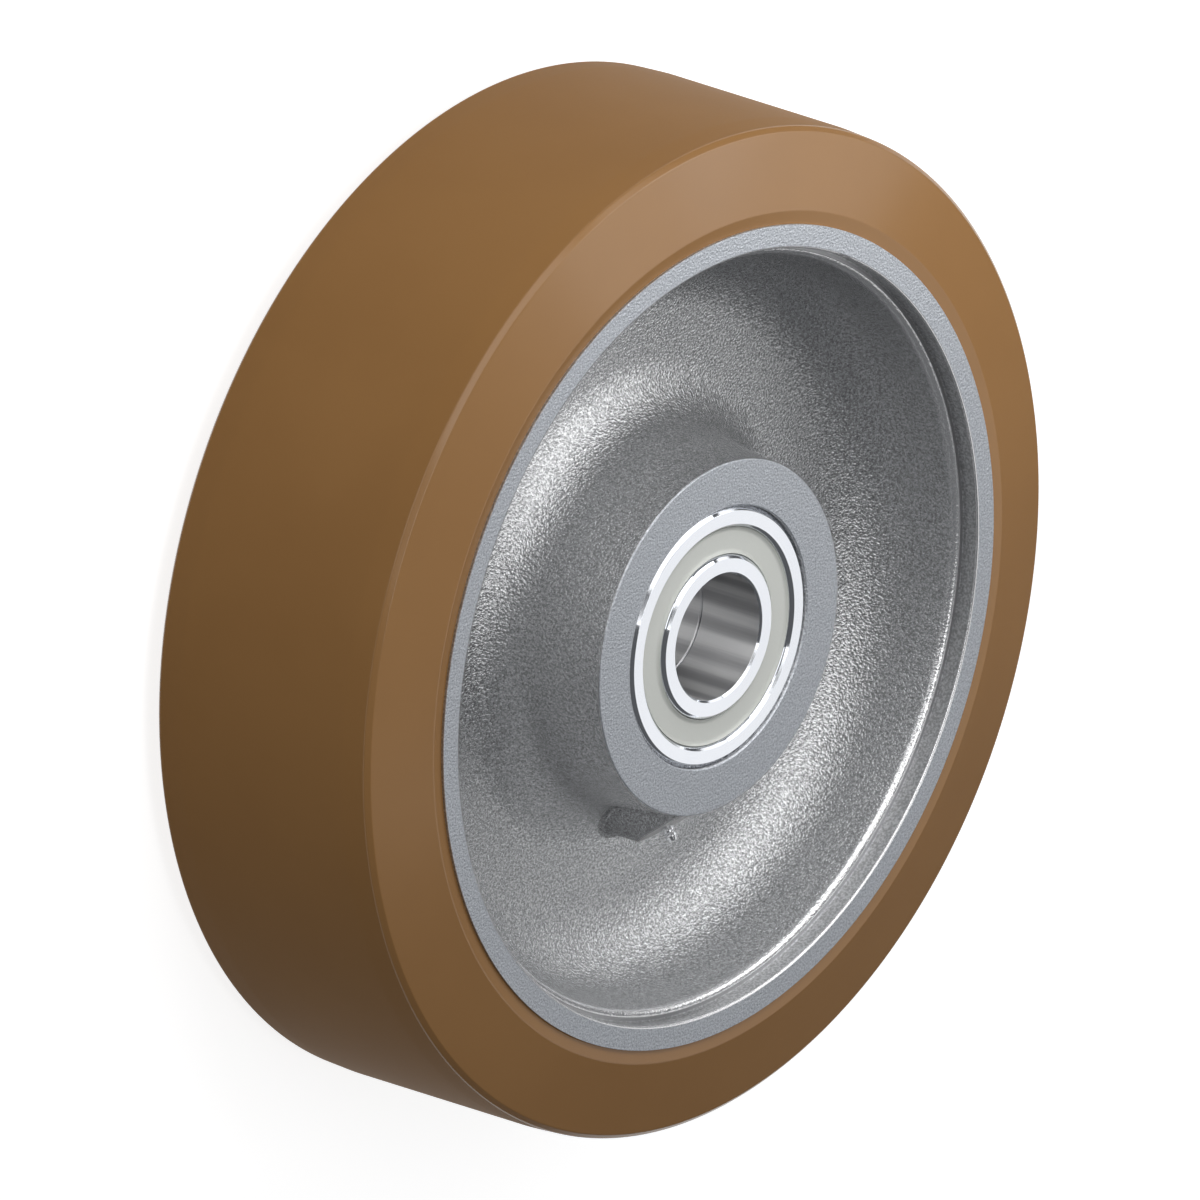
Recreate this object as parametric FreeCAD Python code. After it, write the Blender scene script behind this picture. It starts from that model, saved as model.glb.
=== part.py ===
import FreeCAD, Part
import math
import os

# Industrial wheel, lying on its rear end. Millimetres, +Z along the axle, origin at the wheel's centre.
# The front end, with the grease boss, faces +Z. The boss points to -Y.

# Overall sizes
TREAD_DIAMETER = 200.0
HUB_LENGTH = 60.0

# Polyurethane tread
TREAD_THICKNESS = 18.7
TREAD_SETBACK = 0.2
TREAD_BAND = 2.7
SHOULDER_WIDTH = 52.6
CROWN_WIDTH = 40.4
SHOULDER_DROP = 0.35
SHOULDER_RADIUS = 1.2

# Cast wheel centre. The two fillets are shares of the dish's width.
WEB_THICKNESS = 8.0
HUB_DIAMETER = 70.3
HUB_DRAFT = 6.5
HUB_FILLET_SHARE = 0.304
HUB_EDGE_RADIUS = 0.5
RIM_DRAFT = 8.0
RIM_FILLET_SHARE = 0.38
RIM_FACE_WIDTH = 4.7
RIM_RECESS_DEPTH = 3.6
RIM_LEDGE = 2.0
RIM_LEDGE_RADIUS = 1.9
RIM_EDGE_CHAMFER = 0.3
SEAT_SHOULDER = 3.0
SEAT_LEAD = 0.3

# Ball bearing, one at each end of the hub
BEARING_BORE = 25.0
BEARING_OUTSIDE = 52.0
BEARING_WIDTH = 15.0
BORE_CHAMFER = 0.5
OUTSIDE_CHAMFER = 1.0
BALL_DIAMETER = 7.938
BALL_COUNT = 9
PITCH_DIAMETER = 38.5
RACE_CONFORMITY = 0.52
RACE_CLEARANCE = 0.04
INNER_LAND = 33.8
OUTER_LAND = 43.2
INNER_COLLAR = 31.2
OUTER_MOUTH = 44.8
INNER_STEP = 2.2
SHIELD_DEPTH = 1.15
SHIELD_THICKNESS = 0.4
SHIELD_CRIMP = 0.5
SHIELD_CRIMP_LENGTH = 0.9
SHIELD_GAP = 0.1

# Riveted ribbon cage
CAGE_SHEET = 0.7
CAGE_WIDTH = 3.8
POCKET_CLEARANCE = 0.12
RIVET_DIAMETER = 1.2
RIVET_HEAD_DIAMETER = 2.0
RIVET_HEAD_HEIGHT = 0.45

# Tube between the inner rings
SPACER_BORE_CLEARANCE = 0.1
SPACER_WALL = 3.0

# Grease boss and its slanted face
BOSS_WIDTH = 12.4
BOSS_REACH = 40.3
BOSS_ROOT = 30.0
BOSS_ROOT_RADIUS = 1.4
NIPPLE_REACH = 42.3
NIPPLE_DROP = 13.1
NIPPLE_TILT = 36.6

# Grease nipple, with its ball and spring
PASSAGE_DIAMETER = 1.8
SHANK_DIAMETER = 2.2
SHANK_LENGTH = 4.0
COLLAR_DIAMETER = 2.6
COLLAR_HEIGHT = 1.15
NECK_DIAMETER = 2.0
NECK_HEIGHT = 0.45
HEAD_DIAMETER = 2.5
HEAD_LIP = 0.55
HEAD_CONE = 0.95
TIP_DIAMETER = 1.6
VALVE_BORE = 1.3
VALVE_BALL = 1.1
VALVE_MOUTH = 0.8
VALVE_FLOOR = 0.7
VALVE_TRAVEL = 0.4
SPRING_WIRE = 0.2
SPRING_TURNS = 5
SPRING_SIDE_GAP = 0.05

# Values that follow from the ones above
HALF_LENGTH = HUB_LENGTH / 2
RIM_RADIUS = TREAD_DIAMETER / 2 - TREAD_THICKNESS
BORE_RADIUS = BEARING_BORE / 2
SEAT_RADIUS = BEARING_OUTSIDE / 2
PITCH_RADIUS = PITCH_DIAMETER / 2
BALL_RADIUS = BALL_DIAMETER / 2
RACE_RADIUS = RACE_CONFORMITY * BALL_DIAMETER
NIPPLE_HEIGHT = HALF_LENGTH - NIPPLE_DROP
SPACER_LENGTH = HUB_LENGTH - 2 * BEARING_WIDTH
SPACER_BORE_RADIUS = BORE_RADIUS + SPACER_BORE_CLEARANCE
PAST = 5.0

Z_AXIS = FreeCAD.Vector(0, 0, 1)
ORIGIN = FreeCAD.Vector(0, 0, 0)
MID_PLANE_NORMAL = FreeCAD.Vector(0, 0, 1)
ENDS = {"front": 1, "rear": -1}


def corner_edges(before, corner, after, radius):
    # A rounded corner: where its arc starts, the arc's middle and where it ends.
    to_before = (before - corner).normalize()
    to_after = (after - corner).normalize()
    half_angle = to_before.getAngle(to_after) / 2
    reach = radius / math.tan(half_angle)
    start = corner + to_before * reach
    end = corner + to_after * reach
    bisector = (to_before + to_after).normalize()
    middle = corner + bisector * (radius / math.sin(half_angle) - radius)
    return start, middle, end


def section(corners):
    # A closed face in the XZ plane. Each corner is (radius from the axis, height, rounding).
    points = [FreeCAD.Vector(corner[0], 0, corner[1]) for corner in corners]
    edges = []
    stops = []
    for index, corner in enumerate(corners):
        rounding = corner[2] if len(corner) > 2 else 0
        this = points[index]
        if rounding > 0:
            following = points[(index + 1) % len(points)]
            stops.append(corner_edges(points[index - 1], this, following, rounding))
        else:
            stops.append((this, None, this))
    for index, (start, middle, end) in enumerate(stops):
        if middle is not None:
            edges.append(Part.Arc(start, middle, end).toShape())
        next_start = stops[(index + 1) % len(stops)][0]
        if end.distanceToPoint(next_start) > 1e-6:
            edges.append(Part.LineSegment(end, next_start).toShape())
    return Part.Face(Part.Wire(edges))


def turned(corners):
    return section(corners).revolve(ORIGIN, Z_AXIS, 360)


def at_end(shape, side):
    # Shapes are made for the front end. The rear end's are their mirror image.
    return shape if side > 0 else shape.mirror(ORIGIN, MID_PLANE_NORMAL)


def around(shape, count, centre_angle=0.0):
    copies = []
    for index in range(count):
        copy = shape.copy()
        copy.rotate(ORIGIN, Z_AXIS, centre_angle + index * 360.0 / count)
        copies.append(copy)
    return copies


def make_tread():
    # One cast ring with a slightly dropped shoulder, sloping sides and a flat band beside the rim.
    outside = TREAD_DIAMETER / 2
    side = HALF_LENGTH - TREAD_SETBACK
    half_crown = CROWN_WIDTH / 2
    half_shoulder = SHOULDER_WIDTH / 2
    half = [
        (RIM_RADIUS, side),
        (RIM_RADIUS + TREAD_BAND, side),
        (outside - SHOULDER_DROP, half_shoulder, SHOULDER_RADIUS),
        (outside, half_crown),
    ]
    other = [(corner[0], -corner[1]) + tuple(corner[2:]) for corner in reversed(half)]
    return turned(half + other)


def dish_cut():
    # The recess between hub and rim: drafted walls, large fillets and a flat web.
    web = WEB_THICKNESS / 2
    depth = HALF_LENGTH - web
    hub_slope = math.tan(math.radians(HUB_DRAFT))
    rim_slope = math.tan(math.radians(RIM_DRAFT))
    hub_radius = HUB_DIAMETER / 2
    recess_radius = RIM_RADIUS - RIM_FACE_WIDTH
    ledge_height = HALF_LENGTH - RIM_RECESS_DEPTH
    wall_radius = recess_radius - RIM_LEDGE
    wall_foot = wall_radius - (ledge_height - web) * rim_slope
    dish_width = wall_radius - hub_radius
    top = HALF_LENGTH + PAST
    return turned([
        (hub_radius - HUB_EDGE_RADIUS, top),
        (hub_radius - HUB_EDGE_RADIUS, HALF_LENGTH),
        (hub_radius, HALF_LENGTH, HUB_EDGE_RADIUS * 0.9),
        (hub_radius + depth * hub_slope, web, HUB_FILLET_SHARE * dish_width),
        (wall_foot, web, RIM_FILLET_SHARE * dish_width),
        (wall_radius, ledge_height, RIM_LEDGE_RADIUS),
        (recess_radius, ledge_height),
        (recess_radius, HALF_LENGTH - RIM_EDGE_CHAMFER),
        (recess_radius + RIM_EDGE_CHAMFER, HALF_LENGTH),
        (recess_radius + RIM_EDGE_CHAMFER, top),
    ])


def nipple_placement():
    # The nipple's own frame: its Z axis leaves the slanted face, its origin lies on that face.
    origin = FreeCAD.Vector(0, -NIPPLE_REACH, NIPPLE_HEIGHT)
    return FreeCAD.Placement(origin, FreeCAD.Rotation(FreeCAD.Vector(1, 0, 0), 90 - NIPPLE_TILT))


def make_boss():
    # A pad that stands on the web beside the hub, round at its end, cut square to the nipple.
    half_width = BOSS_WIDTH / 2
    height = HALF_LENGTH - 1.0
    pad = Part.makeBox(BOSS_WIDTH, BOSS_REACH - BOSS_ROOT, height)
    pad.translate(FreeCAD.Vector(-half_width, -BOSS_REACH, 0))
    end = Part.makeCylinder(half_width, height, FreeCAD.Vector(0, -BOSS_REACH, 0))
    blank = pad.fuse(end).removeSplitter()
    reach = 2 * HUB_LENGTH
    above_face = Part.makeBox(reach, reach, reach, FreeCAD.Vector(-reach / 2, -reach / 2, 0))
    above_face.Placement = nipple_placement().multiply(above_face.Placement)
    return blank.cut(above_face)


def boss_root_edges(casting):
    # The curved edges where the boss's wall runs into the hub and the web, all below its slanted face.
    half_width = BOSS_WIDTH / 2 + 0.01
    to_face = nipple_placement().inverse()
    edges = []
    for edge in casting.Edges:
        box = edge.BoundBox
        beside = -half_width < box.XMin and box.XMax < half_width
        on_boss = box.ZMin > 0 and -BOSS_REACH - half_width < box.YMin and box.YMax < -BOSS_ROOT
        curved = edge.Curve.TypeId != "Part::GeomLine"
        if beside and on_boss and curved and to_face.multVec(edge.CenterOfMass).z < -0.1:
            edges.append(edge)
    return edges


def grease_passage():
    # Drilled from the boss face into the hub's cavity, wider at its mouth for the nipple's shank.
    cavity_radius = SEAT_RADIUS - SEAT_SHOULDER
    tilt = math.radians(NIPPLE_TILT)
    depth = (NIPPLE_REACH - cavity_radius) / math.cos(tilt) + PASSAGE_DIAMETER
    drilled = Part.makeCylinder(PASSAGE_DIAMETER / 2, depth, FreeCAD.Vector(0, 0, -depth))
    mouth = Part.makeCylinder(SHANK_DIAMETER / 2, SHANK_LENGTH, FreeCAD.Vector(0, 0, -SHANK_LENGTH))
    passage = drilled.fuse(mouth)
    passage.Placement = nipple_placement()
    return passage


def make_wheel_centre():
    blank = Part.makeCylinder(RIM_RADIUS, HUB_LENGTH, FreeCAD.Vector(0, 0, -HALF_LENGTH))
    dish = dish_cut()
    dishes = [at_end(dish, side) for side in ENDS.values()]
    seat_foot = HALF_LENGTH - BEARING_WIDTH
    cavity_radius = SEAT_RADIUS - SEAT_SHOULDER
    seat = turned([
        (0, HALF_LENGTH + PAST),
        (0, 0),
        (cavity_radius, 0),
        (cavity_radius, seat_foot),
        (SEAT_RADIUS, seat_foot),
        (SEAT_RADIUS, HALF_LENGTH - SEAT_LEAD),
        (SEAT_RADIUS + SEAT_LEAD, HALF_LENGTH),
        (SEAT_RADIUS + SEAT_LEAD, HALF_LENGTH + PAST),
    ])
    seats = [at_end(seat, side) for side in ENDS.values()]
    casting = blank.cut(dishes).fuse(make_boss()).removeSplitter()
    casting = casting.makeFillet(BOSS_ROOT_RADIUS, boss_root_edges(casting))
    return casting.cut(seats + [grease_passage()]).removeSplitter()


def bearing_middle():
    return HALF_LENGTH - BEARING_WIDTH / 2


def race_offset():
    # The grooves are a little wider than the balls, so their section's centre is off the balls' circle.
    return RACE_RADIUS - BALL_RADIUS - RACE_CLEARANCE


def race_groove(centre_radius):
    return Part.makeTorus(centre_radius, RACE_RADIUS, FreeCAD.Vector(0, 0, bearing_middle()), Z_AXIS)


def make_outer_ring():
    foot = HALF_LENGTH - BEARING_WIDTH
    land = OUTER_LAND / 2
    mouth = OUTER_MOUTH / 2
    groove = mouth + SHIELD_CRIMP
    shield_back = HALF_LENGTH - SHIELD_DEPTH - SHIELD_CRIMP_LENGTH
    ring = turned([
        (land, foot),
        (SEAT_RADIUS - OUTSIDE_CHAMFER, foot),
        (SEAT_RADIUS, foot + OUTSIDE_CHAMFER),
        (SEAT_RADIUS, HALF_LENGTH - OUTSIDE_CHAMFER),
        (SEAT_RADIUS - OUTSIDE_CHAMFER, HALF_LENGTH),
        (mouth, HALF_LENGTH),
        (mouth, HALF_LENGTH - SHIELD_DEPTH),
        (groove, HALF_LENGTH - SHIELD_DEPTH),
        (groove, shield_back),
        (land, shield_back),
    ])
    return ring.cut(race_groove(PITCH_RADIUS - race_offset()))


def make_inner_ring():
    foot = HALF_LENGTH - BEARING_WIDTH
    land = INNER_LAND / 2
    collar = INNER_COLLAR / 2
    step = HALF_LENGTH - INNER_STEP
    ring = turned([
        (BORE_RADIUS + BORE_CHAMFER, foot),
        (land, foot),
        (land, step),
        (collar, step),
        (collar, HALF_LENGTH),
        (BORE_RADIUS + BORE_CHAMFER, HALF_LENGTH),
        (BORE_RADIUS, HALF_LENGTH - BORE_CHAMFER),
        (BORE_RADIUS, foot + BORE_CHAMFER),
    ])
    return ring.cut(race_groove(PITCH_RADIUS + race_offset()))


def make_shield():
    # A pressed disc: its rim is crimped into the outer ring, its edge runs close to the inner one.
    edge = INNER_COLLAR / 2 + SHIELD_GAP
    mouth = OUTER_MOUTH / 2
    groove = mouth + SHIELD_CRIMP
    face = HALF_LENGTH - SHIELD_DEPTH
    back = face - SHIELD_THICKNESS
    crimp = face - SHIELD_CRIMP_LENGTH
    return turned([
        (edge, face),
        (groove, face),
        (groove, crimp),
        (mouth, crimp),
        (mouth, back),
        (edge, back),
    ])


def ball_centre():
    return FreeCAD.Vector(PITCH_RADIUS, 0, bearing_middle())


def make_balls():
    ball = Part.makeSphere(BALL_RADIUS, ball_centre())
    return around(ball, BALL_COUNT)


def rivet_angle():
    return 180.0 / BALL_COUNT


def make_rivets():
    # Shanks with a flat head on each face of the cage, halfway between the balls.
    head = RIVET_HEAD_DIAMETER / 2
    shank = RIVET_DIAMETER / 2
    grip = CAGE_SHEET
    rivet = turned([
        (0, grip + RIVET_HEAD_HEIGHT),
        (head * 0.7, grip + RIVET_HEAD_HEIGHT),
        (head, grip),
        (shank, grip),
        (shank, -grip),
        (head, -grip),
        (head * 0.7, -grip - RIVET_HEAD_HEIGHT),
        (0, -grip - RIVET_HEAD_HEIGHT),
    ])
    rivet.translate(ball_centre())
    return Part.makeCompound(around(rivet, BALL_COUNT, rivet_angle()))


def cage_band(bottom, top):
    inside = PITCH_RADIUS - CAGE_WIDTH / 2
    outside = PITCH_RADIUS + CAGE_WIDTH / 2
    height = top - bottom
    base = FreeCAD.Vector(0, 0, bearing_middle() + bottom)
    return Part.makeCylinder(outside, height, base).cut(Part.makeCylinder(inside, height, base))


def make_cage_half():
    # A pressed ribbon: flats between the balls, round pockets over them. Made for the outer side.
    pocket_inside = BALL_RADIUS + POCKET_CLEARANCE
    pocket_outside = pocket_inside + CAGE_SHEET
    dome = Part.makeSphere(pocket_outside, ball_centre()).common(cage_band(0, pocket_outside + 1))
    hollow = Part.makeSphere(pocket_inside, ball_centre())
    hole = Part.makeCylinder(RIVET_DIAMETER / 2, CAGE_SHEET, ball_centre())
    ribbon = cage_band(0, CAGE_SHEET).fuse(around(dome, BALL_COUNT))
    ribbon = ribbon.cut(around(hollow, BALL_COUNT))
    return ribbon.cut(around(hole, BALL_COUNT, rivet_angle())).removeSplitter()


def flipped_in_bearing(shape):
    return shape.mirror(FreeCAD.Vector(0, 0, bearing_middle()), MID_PLANE_NORMAL)


def make_spacer():
    outside = SPACER_BORE_RADIUS + SPACER_WALL
    half = SPACER_LENGTH / 2
    return turned([
        (SPACER_BORE_RADIUS, -half),
        (outside, -half),
        (outside, half),
        (SPACER_BORE_RADIUS, half),
    ])


def head_top():
    return COLLAR_HEIGHT + NECK_HEIGHT + HEAD_LIP + HEAD_CONE


def valve_seat():
    # Height of the mouth's inner edge, and of the ball's centre when it closes that edge.
    edge = head_top() - (TIP_DIAMETER - VALVE_MOUTH) / 4
    drop = math.sqrt(VALVE_BALL ** 2 - VALVE_MOUTH ** 2) / 2
    return edge, edge - drop


def make_nipple_body():
    collar_top = COLLAR_HEIGHT
    neck_top = collar_top + NECK_HEIGHT
    lip_top = neck_top + HEAD_LIP
    edge = valve_seat()[0]
    bore = VALVE_BORE / 2
    mouth = VALVE_MOUTH / 2
    floor = VALVE_FLOOR - SHANK_LENGTH
    outlet = SPRING_WIRE * 2
    body = turned([
        (outlet, -SHANK_LENGTH),
        (SHANK_DIAMETER / 2, -SHANK_LENGTH),
        (SHANK_DIAMETER / 2, 0),
        (COLLAR_DIAMETER / 2, 0),
        (COLLAR_DIAMETER / 2, collar_top),
        (NECK_DIAMETER / 2, collar_top),
        (NECK_DIAMETER / 2, neck_top),
        (HEAD_DIAMETER / 2, neck_top),
        (HEAD_DIAMETER / 2, lip_top),
        (TIP_DIAMETER / 2, head_top()),
        (mouth, head_top()),
        (mouth, edge),
        (bore, edge - (bore - mouth)),
        (bore, floor),
        (outlet, floor),
    ])
    body.Placement = nipple_placement()
    return body


def make_nipple_ball():
    ball = Part.makeSphere(VALVE_BALL / 2, FreeCAD.Vector(0, 0, valve_seat()[1]))
    ball.Placement = nipple_placement().multiply(ball.Placement)
    return ball


def make_nipple_spring():
    # A coil from the shank's floor up to the ball.
    radius = VALVE_BORE / 2 - SPRING_SIDE_GAP - SPRING_WIRE / 2
    contact = math.sqrt((VALVE_BALL / 2 + SPRING_WIRE / 2) ** 2 - radius ** 2)
    bottom = VALVE_FLOOR - SHANK_LENGTH + SPRING_WIRE / 2
    top = valve_seat()[1] - contact
    height = top - bottom
    path = Part.makeHelix(height / SPRING_TURNS, height, radius)
    start = FreeCAD.Vector(radius, 0, 0)
    wire = Part.Wire([Part.makeCircle(SPRING_WIRE / 2, start, FreeCAD.Vector(0, 1, 0))])
    coil = Part.Wire(path.Edges).makePipeShell([wire], True, True)
    coil.translate(FreeCAD.Vector(0, 0, bottom))
    coil.Placement = nipple_placement().multiply(coil.Placement)
    return coil


def build_nodes():
    nodes = {
        "tread": make_tread(),
        "wheel_centre": make_wheel_centre(),
        "spacer_tube": make_spacer(),
        "grease_nipple_body": make_nipple_body(),
        "grease_nipple_ball": make_nipple_ball(),
        "grease_nipple_spring": make_nipple_spring(),
    }
    cage_half = make_cage_half()
    bearing = {
        "outer_ring": make_outer_ring(),
        "inner_ring": make_inner_ring(),
        "shield": make_shield(),
        "cage_outer_half": cage_half,
        "cage_inner_half": flipped_in_bearing(cage_half),
        "cage_rivets": make_rivets(),
    }
    for index, ball in enumerate(make_balls(), start=1):
        bearing["ball_{}".format(index)] = ball
    for end, side in ENDS.items():
        for name, shape in bearing.items():
            nodes["{}_{}".format(end, name)] = at_end(shape, side)
    return nodes


os.makedirs("parts", exist_ok=True)
for node, shape in build_nodes().items():
    shape.exportStep("parts/{}.step".format(node))
    box = shape.BoundBox
    print(node, len(shape.Solids), shape.isValid(), round(shape.Volume, 2), round(box.ZMin, 3), round(box.ZMax, 3))
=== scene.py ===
import math

import bmesh
import bpy
from mathutils import Matrix, Vector


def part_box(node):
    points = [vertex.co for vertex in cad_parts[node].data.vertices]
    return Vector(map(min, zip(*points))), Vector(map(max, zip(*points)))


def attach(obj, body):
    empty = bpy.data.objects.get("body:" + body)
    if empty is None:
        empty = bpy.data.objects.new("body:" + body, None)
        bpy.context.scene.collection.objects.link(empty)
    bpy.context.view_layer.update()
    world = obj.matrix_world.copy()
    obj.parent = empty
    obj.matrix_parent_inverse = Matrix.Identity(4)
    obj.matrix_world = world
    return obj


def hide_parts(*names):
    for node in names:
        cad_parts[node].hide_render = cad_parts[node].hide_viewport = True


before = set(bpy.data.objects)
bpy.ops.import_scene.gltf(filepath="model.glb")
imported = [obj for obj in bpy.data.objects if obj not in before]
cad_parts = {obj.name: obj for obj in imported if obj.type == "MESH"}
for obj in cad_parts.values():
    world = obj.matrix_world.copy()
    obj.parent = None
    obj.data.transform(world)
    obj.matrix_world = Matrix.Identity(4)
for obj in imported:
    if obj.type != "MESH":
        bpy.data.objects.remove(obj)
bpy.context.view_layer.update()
MM = 0.001

# The view. The photograph is a parallel projection of the wheel from its front left and above, and
# the wheel lies on its rear end here, so the camera looks down on it and is rolled to match.
VIEW_BACK = Vector((-0.70870, 0.37065, 0.60030))
VIEW_RIGHT = Vector((0.64634, 0.0, 0.76305))
FRAME_WIDTH = 229.23 * MM
VIEW_OFFSET_RIGHT = 0.2235 * MM
VIEW_OFFSET_UP = -0.0172 * MM
VIEW_DISTANCE = 900 * MM

view_back = VIEW_BACK.normalized()
view_right = (VIEW_RIGHT - view_back * VIEW_RIGHT.dot(view_back)).normalized()
view_up = view_back.cross(view_right)
camera_data = bpy.data.cameras.new("photograph_view")
camera_data.type = "ORTHO"
camera_data.ortho_scale = FRAME_WIDTH
camera = bpy.data.objects.new("photograph_view", camera_data)
bpy.context.scene.collection.objects.link(camera)
camera_place = view_right * VIEW_OFFSET_RIGHT + view_up * VIEW_OFFSET_UP + view_back * VIEW_DISTANCE
camera_turn = Matrix((view_right, view_up, view_back)).transposed().to_4x4()
camera.matrix_world = Matrix.Translation(camera_place) @ camera_turn
bpy.context.scene.camera = camera
bpy.context.scene.view_settings.view_transform = "Standard"


# Wheel centre. One grey iron casting with rim, web and hub, its mould faces coarse from the sand and
# sprayed silver. The two end faces, the recess inside the rim and the bearing seats are machined. Its
# sizes, like those of the other pieces, are in mm.
class Varying:
    """A number that varies over a surface. Python's operators add its Math nodes."""

    def __init__(self, finish, socket):
        self.finish = finish
        self.socket = socket

    def math(self, operation, *values):
        inputs = dict(enumerate(values))
        made = self.finish.node("ShaderNodeMath", {"operation": operation}, inputs)
        return Varying(self.finish, made.outputs[0])

    def __add__(self, other):
        return self.math("ADD", self, other)

    def __sub__(self, other):
        return self.math("SUBTRACT", self, other)

    def __rsub__(self, other):
        return self.math("SUBTRACT", other, self)

    def __mul__(self, other):
        return self.math("MULTIPLY", self, other)

    def __pow__(self, other):
        return self.math("POWER", self, other)

    def __abs__(self):
        return self.math("ABSOLUTE", self)

    __radd__ = __add__
    __rmul__ = __mul__

    def larger(self, other):
        return self.math("MAXIMUM", self, other)

    def between(self, one, other):
        """One number where this is 0, the other where it is 1."""
        return self * (other - one) + one

    def wave(self):
        """From 0 to 1 and back with each whole turn of this angle, and 1 at whole turns."""
        return self.math("COSINE", self) * 0.5 + 0.5

    def ramp(self, start, end):
        """0 up to start, 1 from end on, and smooth in between."""
        settings = {"interpolation_type": "SMOOTHSTEP"}
        inputs = {"Value": self, "From Min": start, "From Max": end}
        made = self.finish.node("ShaderNodeMapRange", settings, inputs)
        return Varying(self.finish, made.outputs[0])

    def past(self, border):
        """0 before a border and 1 past it, for a length. A border is where it starts and ends, in mm."""
        start, end = border
        return self.ramp(start * MM, end * MM)


class Finish:
    """One surface finish: a material, its shader and the nodes behind it."""

    def __init__(self, name, **constants):
        self.material = bpy.data.materials.new(name)
        self.material.use_nodes = True
        self.tree = self.material.node_tree
        self.shader = self.tree.nodes["Principled BSDF"]
        for socket, value in constants.items():
            self.shader.inputs[socket.replace("_", " ")].default_value = value
        coordinates = self.node("ShaderNodeTexCoord")
        self.place = coordinates.outputs["Object"]
        split = self.node("ShaderNodeSeparateXYZ", {}, {0: self.place})
        self.x, self.y, self.z = [Varying(self, socket) for socket in split.outputs]
        self.radius = (self.x * self.x + self.y * self.y) ** 0.5

    def node(self, kind, settings=None, inputs=None):
        made = self.tree.nodes.new(kind)
        for name, value in (settings or {}).items():
            setattr(made, name, value)
        for name, value in (inputs or {}).items():
            self.feed(made.inputs[name], value)
        return made

    def feed(self, socket, value):
        if isinstance(value, Varying):
            self.tree.links.new(value.socket, socket)
        elif isinstance(value, bpy.types.NodeSocket):
            self.tree.links.new(value, socket)
        else:
            socket.default_value = value

    def noise(self, size, detail=2.0, roughness=0.5, vector=None):
        """Noise about one half, with bumps about size mm across."""
        inputs = {"Vector": vector or self.place, "Scale": 1.0 / (size * MM)}
        inputs.update({"Detail": detail, "Roughness": roughness})
        made = self.node("ShaderNodeTexNoise", {}, inputs)
        return Varying(self, made.outputs[0])

    def mixed(self, factor, one, other):
        """One colour where the factor is 0, the other where it is 1. Sockets 6 and 7 hold the colours."""
        made = self.node("ShaderNodeMix", {"data_type": "RGBA"}, {0: factor})
        for socket, colour in ((6, one), (7, other)):
            self.feed(made.inputs[socket], (*colour, 1.0) if isinstance(colour, tuple) else colour)
        return made.outputs[2]

    def bump(self, height, depth):
        """Relief up to depth mm over the surface, where height runs from 0 to 1."""
        inputs = {"Height": height, "Distance": depth * MM, "Strength": 1.0}
        made = self.node("ShaderNodeBump", {}, inputs)
        self.set("Normal", made.outputs["Normal"])

    def set(self, socket, value):
        self.feed(self.shader.inputs[socket], value)


RIM_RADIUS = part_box("wheel_centre")[1][0] / MM
HALF_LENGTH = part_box("wheel_centre")[1][2] / MM
WEB = 4.0
HUB_RADIUS = 35.15
HUB_DRAFT = math.tan(math.radians(6.5))
HUB_FILLET = 12.0
RIM_DRAFT = math.tan(math.radians(8.0))
RIM_FILLET = 15.0
RECESS_RADIUS = 76.6
RECESS_FLOOR = HALF_LENGTH - 3.6
WALL_RADIUS = RECESS_RADIUS - 2.0
SEAT_RADIUS = 26.0
SEAT_FLOOR = HALF_LENGTH - 15.0
SEAT_CHAMFER = 0.3
CAVITY_RADIUS = 23.0
LARGE_STEPS = 288
# Foot and tilt of the nipple on the boss. The boss's top is milled square to it, with its own finish.
NIPPLE_REACH = 42.3
NIPPLE_HEIGHT = 16.9
NIPPLE_TILT = math.radians(36.6)

# Borders of the surfaces that differ in finish. The recess has a ledge, coloured darker as painted shade,
# with a rounding inside it and a small machined edge where it meets the rim's end face, both coloured
# near white as painted highlights.
END_FACE = (HALF_LENGTH - 0.35, HALF_LENGTH - 0.15)
RECESS_WALL = (RECESS_RADIUS - 0.35, RECESS_RADIUS - 0.15)
LEDGE_FLAT = (WALL_RADIUS + 1.0, WALL_RADIUS + 1.15)
LEDGE_ROUNDING = (WALL_RADIUS - 0.3, WALL_RADIUS)
RIM_EDGE_INSIDE = (RECESS_RADIUS - 0.05, RECESS_RADIUS)
RIM_EDGE_OUTSIDE = (RECESS_RADIUS + 0.40, RECESS_RADIUS + 0.48)
RIM_EDGE_FOOT = (HALF_LENGTH - 0.52, HALF_LENGTH - 0.44)
MILLED_SKIN = (0.10, 0.16)
MILLED_FOOT = (8.0, 8.2)
MILLED_SIDE = (6.8, 6.9)
MILLED_HUB_END = (-36.0, -35.9)

PAINT_HOLLOW = (0.43, 0.435, 0.44)
PAINT_CREST = (0.73, 0.735, 0.745)
END_DARK = (0.54, 0.565, 0.61)
END_LIGHT = (0.82, 0.85, 0.895)
# The ledge's colour is painted shade; the rounding's and the rim edge's colours are painted highlights.
LEDGE_PAINTED_SHADE = (0.42, 0.42, 0.43)
ROUNDING_PAINTED_HIGHLIGHT = (0.90, 0.90, 0.91)
RIM_EDGE_PAINTED_HIGHLIGHT = (0.92, 0.92, 0.93)
MILLED_COLOUR = (0.56, 0.56, 0.57)
LEATHER_SIZE = 0.50
LEATHER_SHARE = 0.8
FINE_SIZE = 0.28
SPECKLE_SIZE = 0.4
GRAIN_DEPTH = 0.36
ROUNDING_RELIEF = 0.4
END_RELIEF = 0.6
SMOOTH_RELIEF = 0.03
CAST_ROUGHNESS = 0.22
END_DULLER = 0.25
LEDGE_DULLER = 0.10
MILLED_DULLER = 0.24


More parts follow.
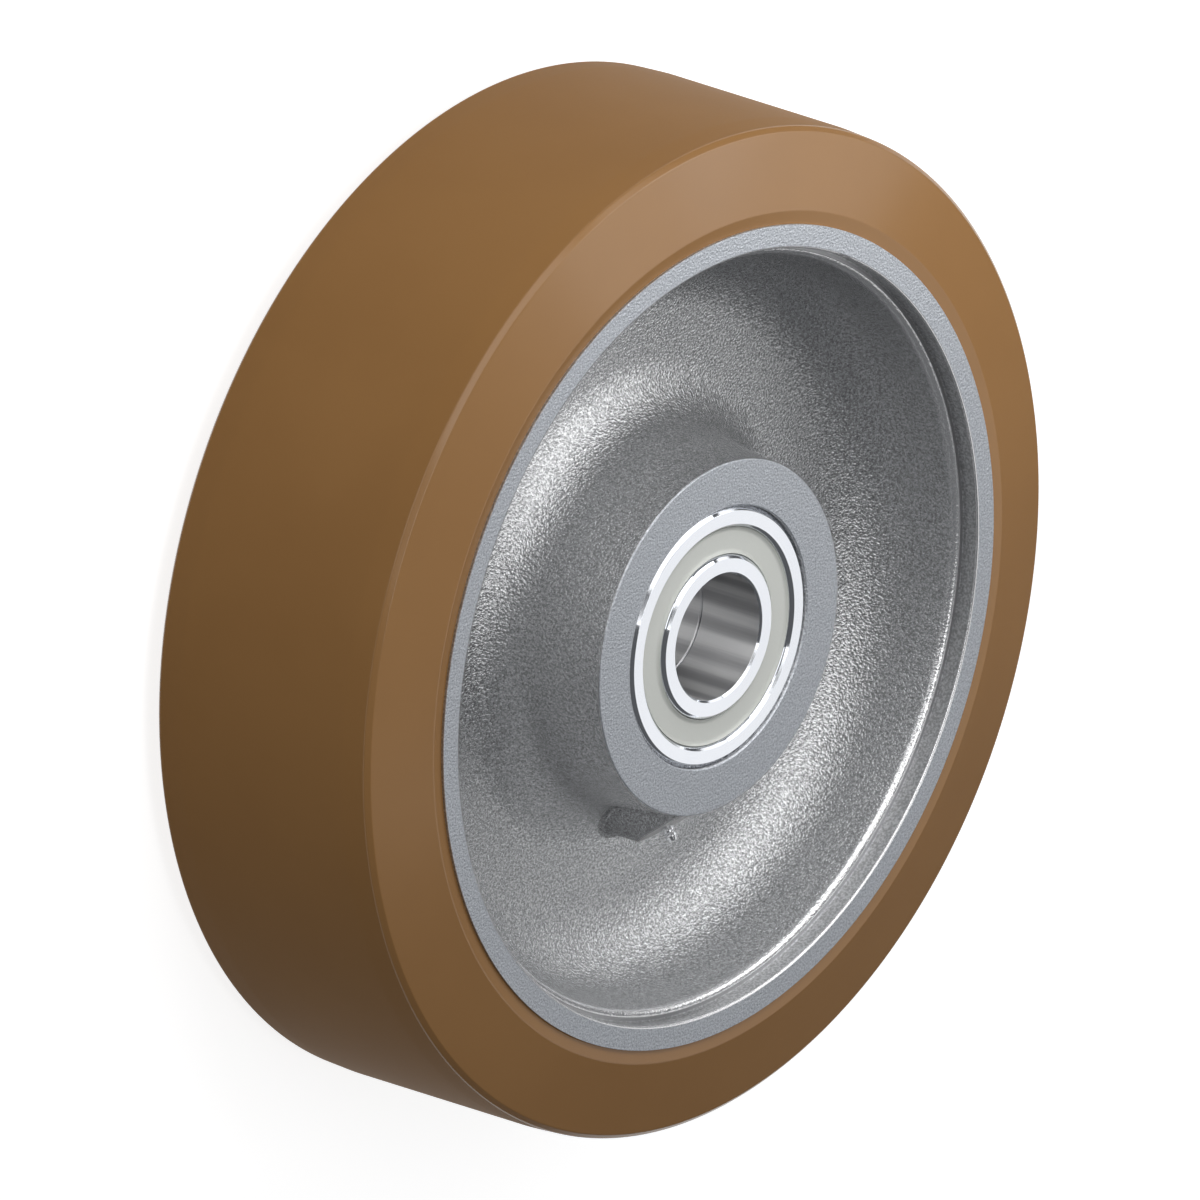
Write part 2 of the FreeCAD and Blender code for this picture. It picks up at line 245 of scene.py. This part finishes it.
def on_milled_face(finish):
    """1 on the boss's milled face and 0 elsewhere."""
    across, along = math.cos(NIPPLE_TILT), math.sin(NIPPLE_TILT)
    distance = NIPPLE_REACH * across + NIPPLE_HEIGHT * along
    off_face = abs(finish.z * along - finish.y * across - distance * MM)
    milled = (1 - off_face.past(MILLED_SKIN)) * finish.z.past(MILLED_FOOT)
    return milled * (1 - abs(finish.x).past(MILLED_SIDE)) * (1 - finish.y.past(MILLED_HUB_END))


def silver_casting(name, painted_shade_tone):
    """Silver lacquer over sand-cast iron, leathery in the dish, speckled on the ends, smooth where cut.
    The ledge's flat is coloured darker as painted shade, its rounding and the rim's machined edge near
    white as painted highlights, and a factor below 1 darkens the whole lacquer as painted shade.
    """
    finish = Finish(name, Metallic=0.85)
    height = abs(finish.z)
    radius = finish.radius
    on_end = height.past(END_FACE)
    off_end = 1 - on_end
    on_recess_wall = radius.past(RECESS_WALL) * off_end
    on_ledge = radius.past(LEDGE_FLAT) * off_end
    on_rounding = radius.past(LEDGE_ROUNDING) * off_end - on_ledge
    on_edge = radius.past(RIM_EDGE_INSIDE) * (1 - radius.past(RIM_EDGE_OUTSIDE))
    on_edge = on_edge * height.past(RIM_EDGE_FOOT)
    off_edge = 1 - on_edge
    milled = on_milled_face(finish)
    smooth = on_ledge.larger(milled)

    leather = finish.noise(LEATHER_SIZE)
    fine = finish.noise(FINE_SIZE, detail=1.0)
    grain = leather * LEATHER_SHARE + fine * (1 - LEATHER_SHARE)
    cast_relief = off_end * (1 - smooth) * on_rounding.between(1.0, ROUNDING_RELIEF)
    relief = cast_relief + on_end * off_edge * END_RELIEF
    finish.bump(grain * relief + fine * smooth * SMOOTH_RELIEF, GRAIN_DEPTH)

    # Painted shade: for the boss, the lacquer's colours are scaled darker here.
    hollow = tuple(part * painted_shade_tone for part in PAINT_HOLLOW)
    crest = tuple(part * painted_shade_tone for part in PAINT_CREST)
    cast_colour = finish.mixed(grain.ramp(0.36, 0.64), hollow, crest)
    cast_colour = finish.mixed(milled, cast_colour, MILLED_COLOUR)
    # Painted shade: the ledge's flat beside the recess wall is coloured darker.
    cast_colour = finish.mixed(on_ledge * (1 - on_recess_wall), cast_colour, LEDGE_PAINTED_SHADE)
    # Painted highlight: the ledge's rounding is coloured near white all round.
    cast_colour = finish.mixed(on_rounding, cast_colour, ROUNDING_PAINTED_HIGHLIGHT)
    speckle = finish.noise(SPECKLE_SIZE, roughness=0.7).ramp(0.35, 0.65)
    end_colour = finish.mixed(speckle, END_DARK, END_LIGHT)
    # Painted highlight: the rim's machined edge is coloured near white all round.
    end_colour = finish.mixed(on_edge, end_colour, RIM_EDGE_PAINTED_HIGHLIGHT)
    finish.set("Base Color", finish.mixed(on_end.larger(on_edge), cast_colour, end_colour))

    duller = (on_end * END_DULLER + on_ledge * LEDGE_DULLER) * off_edge + milled * MILLED_DULLER
    finish.set("Roughness", CAST_ROUGHNESS + duller)
    return finish


def rounding_reach(before, corner, after, radius):
    """How far from a corner its rounding starts, for an arc of that radius."""
    half_angle = (before - corner).angle(after - corner) / 2
    return radius / math.tan(half_angle)


# How far past a rounding its hold lies, as a share of its reach and a gap, and the room that one needs.
HOLD_SHARE = 1.1
HOLD_GAP = 0.03
HOLD_ROOM = 1.6


def hold_corner(corner, side, reach):
    """A plain corner on the way to a side, just past the rounding, or none where there is no room."""
    away = side - corner
    if away.length <= reach * HOLD_ROOM:
        return []
    return [tuple(corner + away.normalized() * reach)]


def held(corners):
    """The outline with a plain corner beside each end of a rounding, so that the flats shade flat."""
    places = [Vector(corner[:2]) for corner in corners]
    outline = []
    for index, corner in enumerate(corners):
        if len(corner) == 2:
            outline.append(corner)
            continue
        before, here, after = places[index - 1], places[index], places[(index + 1) % len(places)]
        reach = rounding_reach(before, here, after, corner[2]) * HOLD_SHARE + HOLD_GAP
        outline += hold_corner(here, before, reach) + [corner] + hold_corner(here, after, reach)
    return outline


def turned(corners, steps):
    """A closed ring turned about Z. A corner is (radius, height) in mm, and where it is rounded also
    the rounding's radius and steps."""
    shape = bmesh.new()
    corners = held(corners)
    verts = [shape.verts.new((corner[0] * MM, 0, corner[1] * MM)) for corner in corners]
    for index, vert in enumerate(verts):
        shape.edges.new((verts[index - 1], vert))
    places = [vert.co.copy() for vert in verts]
    for index, corner in enumerate(corners):
        if len(corner) > 2:
            following = places[(index + 1) % len(places)]
            reach = rounding_reach(places[index - 1], places[index], following, corner[2] * MM)
            bmesh.ops.bevel(shape, geom=[verts[index]], offset=reach, offset_type="OFFSET",
                            affect="VERTICES", segments=corner[3], profile=0.5, material=-1)
    bmesh.ops.spin(shape, geom=shape.verts[:] + shape.edges[:], axis=(0, 0, 1), cent=(0, 0, 0),
                   dvec=(0, 0, 0), angle=2 * math.pi, steps=steps, use_merge=True, use_duplicate=False)
    bmesh.ops.remove_doubles(shape, verts=shape.verts[:], dist=1e-7)
    bmesh.ops.recalc_face_normals(shape, faces=shape.faces[:])
    return shape


def mirrored(corners):
    """The same corners on the rear end, in the order that closes the outline."""
    return [(corner[0], -corner[1], *corner[2:]) for corner in reversed(corners)]


def piece(name, shape, finish, sharp_degrees=30):
    """Makes an object of a bmesh, smooth but for edges sharper than the angle given."""
    mesh = bpy.data.meshes.new(name)
    shape.to_mesh(mesh)
    shape.free()
    for polygon in mesh.polygons:
        polygon.use_smooth = True
    mesh.set_sharp_from_angle(angle=math.radians(sharp_degrees))
    mesh.materials.append(finish.material)
    made = bpy.data.objects.new(name, mesh)
    bpy.context.scene.collection.objects.link(made)
    return made


def casting_corners():
    """Outline of the casting's front half, from the cavity inside the hub round to the rim's outside."""
    hub_foot = HUB_RADIUS + (HALF_LENGTH - WEB) * HUB_DRAFT
    wall_foot = WALL_RADIUS - (RECESS_FLOOR - WEB) * RIM_DRAFT
    return [
        (CAVITY_RADIUS, SEAT_FLOOR),
        (SEAT_RADIUS, SEAT_FLOOR),
        (SEAT_RADIUS, HALF_LENGTH - SEAT_CHAMFER),
        (SEAT_RADIUS + SEAT_CHAMFER, HALF_LENGTH),
        (HUB_RADIUS, HALF_LENGTH, 0.2, 3),
        (hub_foot, WEB, HUB_FILLET, 22),
        (wall_foot, WEB, RIM_FILLET, 26),
        (WALL_RADIUS, RECESS_FLOOR, 1.25, 8),
        (RECESS_RADIUS, RECESS_FLOOR),
        (RECESS_RADIUS, HALF_LENGTH, 0.45, 3),
        (RIM_RADIUS, HALF_LENGTH),
    ]


casting_outline = casting_corners() + mirrored(casting_corners())
casting = piece("iron_casting", turned(casting_outline, LARGE_STEPS), silver_casting("silver_casting", 1.0))
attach(casting, "wheel")
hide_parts("wheel_centre")


# Grease boss. A pad cast with the wheel centre, standing on the web against the hub, round at its end,
# with a soft root. Its top is milled square to the nipple and is smoother than the rest. Its lacquer is
# coloured darker than the rest of the casting's, as painted shade.
BOSS_RADIUS = 6.2
BOSS_CENTRE = 40.3
BOSS_ROOT = 31.0
BOSS_FLARE = 1.4
BOSS_SUNK = 0.25
BOSS_TOP = HALF_LENGTH - 1.0
BOSS_STEPS = 96
FLARE_STEPS = 8
FILLET_LIMIT = 0.99
# Share of the casting's lacquer colour that the boss keeps, a painted shade.
BOSS_PAINTED_SHADE = 0.76
BOSS_SHARP = 40


def dish_height(radius):
    """Height of the dish over the wheel's middle at a distance from the axis, on the web and the fillet
    up to the hub, in mm."""
    slant = math.hypot(1, HUB_DRAFT)
    fillet_end = HUB_RADIUS + (HALF_LENGTH - WEB - HUB_FILLET) * HUB_DRAFT + HUB_FILLET * slant
    if radius >= fillet_end:
        return WEB
    reach = min(fillet_end - radius, HUB_FILLET * FILLET_LIMIT)
    return WEB + HUB_FILLET - math.sqrt(HUB_FILLET ** 2 - reach ** 2)


def beside_boss(place, out):
    """The point at a place round the boss that lies out mm off its upright wall."""
    centre = Vector((0, max(place.y, -BOSS_CENTRE), 0))
    away = Vector((place.x, place.y, 0)) - centre
    if away.length < 1e-6:
        return centre
    return centre + away.normalized() * (BOSS_RADIUS + out)


def boss_face_height(y):
    """Height of the milled face at a place along Y, in mm."""
    return NIPPLE_HEIGHT + (y + NIPPLE_REACH) / math.tan(NIPPLE_TILT)


def extruded(shape, edges):
    """Extrudes a loop of edges, and gives the new vertices and edges."""
    made = bmesh.ops.extrude_edge_only(shape, edges=edges)["geom"]
    new_verts = [item for item in made if isinstance(item, bmesh.types.BMVert)]
    return new_verts, [item for item in made if isinstance(item, bmesh.types.BMEdge)]


boss_shape = bmesh.new()
bmesh.ops.create_circle(boss_shape, cap_ends=False, segments=BOSS_STEPS, radius=BOSS_RADIUS)
for vert in boss_shape.verts:
    stretch = (BOSS_CENTRE - BOSS_ROOT) / BOSS_RADIUS if vert.co.y > 0 else 1.0
    vert.co.y = vert.co.y * stretch - BOSS_CENTRE
ring, loop = boss_shape.verts[:], boss_shape.edges[:]
for step in range(FLARE_STEPS + 1):
    angle = math.pi / 2 * step / FLARE_STEPS
    out = BOSS_FLARE * (1 - math.sin(angle))
    up = BOSS_FLARE * (1 - math.cos(angle)) if step else -BOSS_SUNK
    if step:
        ring, loop = extruded(boss_shape, loop)
    for vert in ring:
        flat = beside_boss(vert.co, out)
        vert.co = Vector((flat.x, flat.y, dish_height(flat.xy.length) + up))
ring, loop = extruded(boss_shape, loop)
for vert in ring:
    vert.co.z = min(boss_face_height(vert.co.y), BOSS_TOP)
bmesh.ops.holes_fill(boss_shape, edges=boss_shape.edges[:], sides=0)
bmesh.ops.scale(boss_shape, vec=(MM, MM, MM), verts=boss_shape.verts[:])
bmesh.ops.recalc_face_normals(boss_shape, faces=boss_shape.faces[:])
# The boss takes the casting's lacquer, darkened as painted shade.
boss = piece("grease_boss", boss_shape, silver_casting("shaded_boss_casting", BOSS_PAINTED_SHADE), BOSS_SHARP)
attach(boss, "wheel")


# Tread. One ring of brown polyurethane, cast round the rim and bonded to it, with its running face then
# turned dull. The sides keep the mould's sheen.
TREAD_RADIUS = 100.0
TREAD_END = HALF_LENGTH - 0.2
SIDE_DIP = 0.4
SIDE_BAND = 2.7
SHOULDER_INSET = 1.25
SHOULDER_TOP = 26.5
TAPER = 0.31
TAPER_TOP = 25.6
TAPER_FOOT = 20.2
TAPER_HOLD = 0.6
TAPER_AT_HOLD = 0.034
MOULDED_SIDE = (TAPER_TOP - 0.4, TAPER_TOP)
BROWN = (0.334, 0.168, 0.055)
CLOUDY_BROWN = (0.354, 0.180, 0.060)


def tread_corners():
    """Outline of the tread's front half, from the rim out to the middle of the running face."""
    return [
        (RIM_RADIUS, TREAD_END - SIDE_DIP),
        (RIM_RADIUS + SIDE_BAND, TREAD_END, 1.0, 3),
        (TREAD_RADIUS - SHOULDER_INSET, SHOULDER_TOP, 0.5, 3),
        (TREAD_RADIUS - TAPER, TAPER_TOP, 0.5, 3),
        (TREAD_RADIUS - TAPER_AT_HOLD, TAPER_FOOT + TAPER_HOLD),
        (TREAD_RADIUS, TAPER_FOOT),
        (TREAD_RADIUS, TAPER_FOOT - TAPER_HOLD),
    ]


def brown_polyurethane():
    """Brown polyurethane, a little cloudy, with a clear sheen on its moulded sides."""
    finish = Finish("brown_polyurethane", IOR=1.24, Coat_IOR=1.5, Coat_Roughness=0.20)
    cloud = finish.noise(38.0, detail=3.0).ramp(0.3, 0.7)
    fine = finish.noise(0.6)
    moulded = abs(finish.z).past(MOULDED_SIDE)
    finish.set("Base Color", finish.mixed(cloud, BROWN, CLOUDY_BROWN))
    finish.set("Roughness", moulded.between(0.60, 0.48) + (fine - 0.5) * 0.06)
    finish.set("Coat Weight", moulded * 0.8)
    finish.bump(fine, 0.010)
    return finish


tread_outline = tread_corners() + mirrored(tread_corners())
tread = piece("polyurethane_tyre", turned(tread_outline, LARGE_STEPS), brown_polyurethane())
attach(tread, "wheel")
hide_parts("tread")


# Ball bearings. One is pressed into each end of the hub: two ground and lapped rings, nine balls in a
# riveted cage, and on the outer side a pressed steel shield crimped into the outer ring.
BORE_RADIUS = 12.5
BALLS = 9
BALL_RADIUS = 3.969
PITCH_RADIUS = 19.25
RACE_RADIUS = 4.128
RACE_CLEARANCE = 0.04
RACE_STEPS = 14
OUTER_LAND = 21.6
INNER_LAND = 16.9
OUTER_CHAMFER = 1.0
BACK_CHAMFER = 0.5
BORE_CHAMFER = 0.4
OUTER_MOUTH = 22.4
INNER_COLLAR = 15.6
MOUTH_BEVEL = 0.7
MOUTH_ROUNDING = (0.9, 6)
COLLAR_FOOT = HALF_LENGTH - 2.2
CRIMP_RADIUS = OUTER_MOUTH + 0.5
CRIMP_TOP = HALF_LENGTH - 1.15
CRIMP_FOOT = HALF_LENGTH - 2.05
SHIELD_GAP = 0.1
SHIELD_SHEET = 0.4
INNER_TURN_UP = 0.6
OUTER_TURN_UP = 0.55
INNER_TURN_UP_TOP = HALF_LENGTH - 0.6
OUTER_TURN_UP_TOP = HALF_LENGTH - 0.7
BEARING_MIDDLE = HALF_LENGTH - 7.5
RING_STEPS = 160

BORE_WALL = (BORE_RADIUS + 0.02, BORE_RADIUS + 0.06)
# Bands of painted reflection round the bores: their count, phase and stretch along the axis, and colours.
BAND_COUNT = 14
BAND_START = 7.57
BAND_STRETCH = 0.03
PAINTED_REFLECTION_DARK = (0.53, 0.53, 0.54)
PAINTED_REFLECTION_BRIGHT = (1.0, 1.0, 1.0)
HONED_LINES = {"Metallic": 1.0, "Anisotropic": 0.93, "Anisotropic_Rotation": 0.25}


def race(centre, side, land):
    """The groove's arc in a ring, from its inner end to its outer one. Side is 1 in the outer ring."""
    points = []
    half = math.acos(abs(land - centre) / RACE_RADIUS)
    for step in range(RACE_STEPS + 1):
        angle = -half + 2 * half * step / RACE_STEPS
        radius = centre + side * RACE_RADIUS * math.cos(angle)
        points.append((radius, BEARING_MIDDLE + RACE_RADIUS * math.sin(angle)))
    return points


def painted_reflection_bands(finish):
    """Bands of painted reflection that run along the bore, light and dark round it like the marks of
    drawing and honing, from 0 to 1.
    """
    stretch = {"Vector": finish.place, "Scale": (1.0, 1.0, BAND_STRETCH)}
    along = finish.node("ShaderNodeMapping", {}, stretch).outputs[0]
    broad = finish.noise(6.0, detail=1.0, vector=along).ramp(0.3, 0.7)
    fine = finish.noise(0.5, roughness=0.6, vector=along)
    angle = finish.y.math("ARCTAN2", finish.y, finish.x)
    reflection_streaks = (angle * BAND_COUNT + BAND_START).wave() * 0.5 + broad * 0.2 + fine * 0.3
    return reflection_streaks.ramp(0.15, 0.85)


def ground_steel():
    """Ground bearing steel, mirror bright outside, with honing lines along the bore, where bands of painted
    reflection colour it light and dark.
    """
    finish = Finish("ground_steel", **HONED_LINES)
    haze = finish.noise(2.2, detail=3.0, roughness=0.6)
    in_bore = 1 - finish.radius.past(BORE_WALL)
    ground = finish.mixed(haze, (0.88, 0.905, 0.955), (0.94, 0.96, 1.0))
    # Painted reflection: the bore is coloured in light and dark bands.
    painted_reflection = finish.mixed(painted_reflection_bands(finish), PAINTED_REFLECTION_DARK, PAINTED_REFLECTION_BRIGHT)
    finish.set("Base Color", finish.mixed(in_bore, ground, painted_reflection))
    finish.set("Roughness", 0.06 + haze * 0.05 + in_bore * 0.28)
    return finish


def shield_coating():
    """Thin warm grey coating on pressed sheet steel, with a soft sheen."""
    finish = Finish("shield_coating", Coat_Weight=0.6, Coat_Roughness=0.12)
    grain = finish.noise(0.5, roughness=0.6)
    finish.set("Base Color", finish.mixed(grain, (0.66, 0.675, 0.632), (0.70, 0.715, 0.672)))
    finish.set("Roughness", grain.between(0.45, 0.60))
    finish.bump(grain, 0.006)
    return finish


def ball_steel():
    """Polished ball steel."""
    finish = Finish("ball_steel", Metallic=1.0)
    haze = finish.noise(1.5)
    finish.set("Base Color", finish.mixed(haze, (0.84, 0.85, 0.88), (0.90, 0.91, 0.93)))
    finish.set("Roughness", haze.between(0.04, 0.07))
    return finish


def pressed_strip():
    """Cold-rolled strip as it leaves the press, satin with drawing marks."""
    finish = Finish("pressed_strip", Metallic=1.0)
    marks = finish.noise(0.8, detail=3.0, roughness=0.6)
    finish.set("Base Color", finish.mixed(marks, (0.50, 0.49, 0.47), (0.62, 0.61, 0.59)))
    finish.set("Roughness", marks.between(0.28, 0.44))
    finish.bump(marks, 0.01)
    return finish


def refinish(node, finish):
    """Gives a CAD node that stays in the scene its finish."""
    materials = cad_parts[node].data.materials
    materials.clear()
    materials.append(finish.material)


ring_finish = ground_steel()
ball_finish = ball_steel()
cage_finish = pressed_strip()

race_offset = RACE_RADIUS - BALL_RADIUS - RACE_CLEARANCE
outer_race = race(PITCH_RADIUS - race_offset, 1, OUTER_LAND)
inner_race = race(PITCH_RADIUS + race_offset, -1, INNER_LAND)
outer_lip = OUTER_MOUTH - MOUTH_BEVEL
inner_lip = INNER_COLLAR + MOUTH_BEVEL
outer_ring_corners = [
    (SEAT_RADIUS, SEAT_FLOOR + OUTER_CHAMFER, 0.3, 2),
    (SEAT_RADIUS, HALF_LENGTH - OUTER_CHAMFER, 0.3, 2),
    (SEAT_RADIUS - OUTER_CHAMFER, HALF_LENGTH, 0.1, 2),
    (OUTER_MOUTH, HALF_LENGTH),
    (outer_lip, HALF_LENGTH - MOUTH_BEVEL, *MOUTH_ROUNDING),
    (outer_lip, CRIMP_TOP),
    (CRIMP_RADIUS, CRIMP_TOP),
    (CRIMP_RADIUS, CRIMP_FOOT),
    (OUTER_LAND, CRIMP_FOOT),
    *reversed(outer_race),
    (OUTER_LAND, SEAT_FLOOR, 0.2, 2),
    (SEAT_RADIUS - OUTER_CHAMFER, SEAT_FLOOR, 0.2, 2),
]
inner_ring_corners = [
    (BORE_RADIUS, SEAT_FLOOR + BACK_CHAMFER, 0.15, 2),
    (BORE_RADIUS + BACK_CHAMFER, SEAT_FLOOR, 0.1, 2),
    (INNER_LAND, SEAT_FLOOR, 0.2, 2),
    *inner_race,
    (INNER_LAND, COLLAR_FOOT, 0.15, 2),
    (inner_lip, COLLAR_FOOT),
    (inner_lip, HALF_LENGTH - MOUTH_BEVEL, *MOUTH_ROUNDING),
    (INNER_COLLAR, HALF_LENGTH),
    (BORE_RADIUS + BORE_CHAMFER, HALF_LENGTH),
    (BORE_RADIUS, HALF_LENGTH - BORE_CHAMFER, 0.1, 2),
]
shield_corners = [
    (inner_lip + SHIELD_GAP, INNER_TURN_UP_TOP, 0.1, 2),
    (inner_lip + SHIELD_GAP + INNER_TURN_UP, CRIMP_TOP, *MOUTH_ROUNDING),
    (outer_lip - SHIELD_GAP - OUTER_TURN_UP, CRIMP_TOP, *MOUTH_ROUNDING),
    (outer_lip - SHIELD_GAP, OUTER_TURN_UP_TOP),
    (outer_lip - SHIELD_GAP, CRIMP_TOP - SHIELD_GAP),
    (CRIMP_RADIUS, CRIMP_TOP - SHIELD_GAP, 0.15, 3),
    (CRIMP_RADIUS, CRIMP_FOOT),
    (OUTER_MOUTH, CRIMP_FOOT),
    (OUTER_MOUTH, CRIMP_TOP - SHIELD_SHEET),
    (inner_lip + SHIELD_GAP, CRIMP_TOP - SHIELD_SHEET),
]
ring_parts = (
    ("outer_ring", outer_ring_corners, ring_finish, "wheel", "bearing_steel"),
    ("inner_ring", inner_ring_corners, ring_finish, "axle_sleeve", "bearing_steel"),
    ("shield", shield_corners, shield_coating(), "wheel", "shield_steel"),
)
for end in ("front", "rear"):
    for node, corners, finish, body, slot in ring_parts:
        placed = corners if end == "front" else mirrored(corners)
        made = piece(f"{end}_bearing_{node}", turned(placed, RING_STEPS), finish)
        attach(made, body)
        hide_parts(f"{end}_{node}")
    for node in ("cage_outer_half", "cage_inner_half", "cage_rivets"):
        refinish(f"{end}_{node}", cage_finish)
    for number in range(1, BALLS + 1):
        refinish(f"{end}_ball_{number}", ball_finish)


# Spacer tube. Bright steel tube, cut square and clamped between the two inner rings. Its joint with them
# shows as a fine line in the bore.
TUBE_RADIUS = BORE_RADIUS + 0.1
TUBE_WALL = 3.0
TUBE_CHAMFER = 0.22


def turned_tube():
    """Bright tube, drawn with honing lines like the rings' bores, and coloured with the same bands of
    painted reflection.
    """
    finish = Finish("turned_tube", **HONED_LINES)
    bands = painted_reflection_bands(finish)
    finish.set("Base Color", finish.mixed(bands, PAINTED_REFLECTION_DARK, PAINTED_REFLECTION_BRIGHT))
    finish.set("Roughness", bands.between(0.35, 0.39))
    return finish


tube_corners = [
    (TUBE_RADIUS, SEAT_FLOOR - TUBE_CHAMFER),
    (TUBE_RADIUS + TUBE_CHAMFER, SEAT_FLOOR),
    (TUBE_RADIUS + TUBE_WALL, SEAT_FLOOR, 0.2, 2),
]
tube = piece("clamped_spacer", turned(tube_corners + mirrored(tube_corners), RING_STEPS), turned_tube())
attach(tube, "axle_sleeve")
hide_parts("spacer_tube")


# Grease nipple. A small turned and zinc-plated nipple, pressed into the boss, with a ball held in its
# mouth by a spring. Heights run along the nipple, from the boss's milled face.
SHANK_RADIUS = 1.1
SHANK_END = -4.0
COLLAR_RADIUS = 1.3
COLLAR_TOP = 1.15
NECK_RADIUS = 1.0
NECK_TOP = 1.6
HEAD_RADIUS = 1.25
HEAD_SHOULDER = 2.15
TIP_RADIUS = 0.8
TIP = 3.1
MOUTH_RADIUS = 0.4
MOUTH_DEPTH = 0.2
CHAMBER_RADIUS = 0.65
CHAMBER_FOOT = -3.3
NIPPLE_STEPS = 64


def zinc_plate():
    """Bright zinc plating, slightly uneven."""
    finish = Finish("zinc_plate", Metallic=1.0)
    uneven = finish.noise(0.7)
    finish.set("Base Color", finish.mixed(uneven, (0.84, 0.85, 0.87), (0.92, 0.93, 0.94)))
    finish.set("Roughness", uneven.between(0.18, 0.28))
    return finish


nipple_corners = [
    (MOUTH_RADIUS, SHANK_END),
    (SHANK_RADIUS, SHANK_END, 0.15, 2),
    (SHANK_RADIUS, 0.0),
    (COLLAR_RADIUS, 0.0, 0.08, 2),
    (COLLAR_RADIUS, COLLAR_TOP, 0.25, 4),
    (NECK_RADIUS, COLLAR_TOP, 0.12, 2),
    (NECK_RADIUS, NECK_TOP, 0.12, 2),
    (HEAD_RADIUS, NECK_TOP, 0.08, 2),
    (HEAD_RADIUS, HEAD_SHOULDER, 0.3, 4),
    (TIP_RADIUS, TIP, 0.2, 3),
    (MOUTH_RADIUS, TIP, 0.08, 2),
    (MOUTH_RADIUS, TIP - MOUTH_DEPTH),
    (CHAMBER_RADIUS, TIP - MOUTH_DEPTH - (CHAMBER_RADIUS - MOUTH_RADIUS)),
    (CHAMBER_RADIUS, CHAMBER_FOOT),
    (MOUTH_RADIUS, CHAMBER_FOOT),
]
nipple_place = (Matrix.Translation((0, -NIPPLE_REACH * MM, NIPPLE_HEIGHT * MM))
                @ Matrix.Rotation(math.pi / 2 - NIPPLE_TILT, 4, "X"))
nipple_shape = turned(nipple_corners, NIPPLE_STEPS)
bmesh.ops.transform(nipple_shape, matrix=nipple_place, verts=nipple_shape.verts[:])
plate_finish = zinc_plate()
nipple = piece("pressed_in_nipple", nipple_shape, plate_finish)
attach(nipple, "wheel")
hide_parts("grease_nipple_body")
refinish("grease_nipple_ball", ball_finish)
refinish("grease_nipple_spring", plate_finish)


# Studio. A white floor that runs out past the frame, soft lamps above and in front of the wheel's seen
# face, and a pale surround for the bright steel to reflect. Its lengths are in metres.
FLOOR_HALF = 3.0
FLOOR_HEIGHT = -HALF_LENGTH * MM
FLOOR_GREY = (0.5, 0.5, 0.5, 1.0)
FLOOR_GLOW = 0.84
SURROUND_COLOUR = (0.92, 0.95, 1.0, 1.0)
SURROUND_STRENGTH = 0.10


def white_floor():
    """A grey floor that takes the shadow, and glows white for the camera and for gloss alone."""
    finish = Finish("studio_floor", Roughness=0.9)
    finish.set("Base Color", FLOOR_GREY)
    rays = finish.node("ShaderNodeLightPath")
    camera_ray, glossy_ray, clear_ray = [
        Varying(finish, rays.outputs[name])
        for name in ("Is Camera Ray", "Is Glossy Ray", "Is Transmission Ray")
    ]
    seen = camera_ray.larger(glossy_ray).larger(clear_ray)
    plain = finish.shader.outputs[0]
    glow = finish.node("ShaderNodeEmission", {}, {"Color": (1, 1, 1, 1), "Strength": FLOOR_GLOW})
    glowing = finish.node("ShaderNodeAddShader", {}, {0: glow.outputs[0], 1: plain})
    mixed = finish.node("ShaderNodeMixShader", {}, {0: seen, 1: plain, 2: glowing.outputs[0]})
    finish.feed(finish.tree.nodes["Material Output"].inputs["Surface"], mixed.outputs[0])
    return finish


floor_shape = bmesh.new()
bmesh.ops.create_grid(floor_shape, x_segments=1, y_segments=1, size=FLOOR_HALF)
bmesh.ops.translate(floor_shape, vec=(0, 0, FLOOR_HEIGHT), verts=floor_shape.verts[:])
floor = piece("studio_floor", floor_shape, white_floor())


def soft_lamp(name, direction, distance, size, radiance):
    """A square area lamp that points at the wheel. Its face is equally bright whatever its size."""
    data = bpy.data.lights.new(name, "AREA")
    data.size = size
    data.energy = math.pi * size * size * radiance
    lamp = bpy.data.objects.new(name, data)
    towards = Vector(direction).normalized()
    lamp.location = towards * distance
    lamp.rotation_euler = towards.to_track_quat("Z", "Y").to_euler()
    lamp.visible_camera = False
    bpy.context.scene.collection.objects.link(lamp)


soft_lamp("top_lamp", (-0.238, 0.218, 0.946), 1.2, 0.7, 1.82)
soft_lamp("left_lamp", (-0.805, 0.56, 0.196), 1.2, 0.7, 1.33)
soft_lamp("upper_edge_lamp", (-0.226, 0.793, 0.566), 0.44, 0.3, 1.86)
soft_lamp("reflector", (0.60, -0.29, 0.745), 1.2, 0.62, 0.84)
soft_lamp("near_top_lamp", (0.333, 0.667, 0.667), 0.300, 0.15, 1.85)
soft_lamp("near_front_lamp", (0.514, 0.411, 0.753), 0.292, 0.15, 1.20)
soft_lamp("near_right_lamp", (0.743, 0.371, 0.557), 0.269, 0.15, 1.06)

surroundings = bpy.data.worlds.new("studio")
surroundings.use_nodes = True
background = surroundings.node_tree.nodes["Background"]
background.inputs["Color"].default_value = SURROUND_COLOUR
background.inputs["Strength"].default_value = SURROUND_STRENGTH
bpy.context.scene.world = surroundings
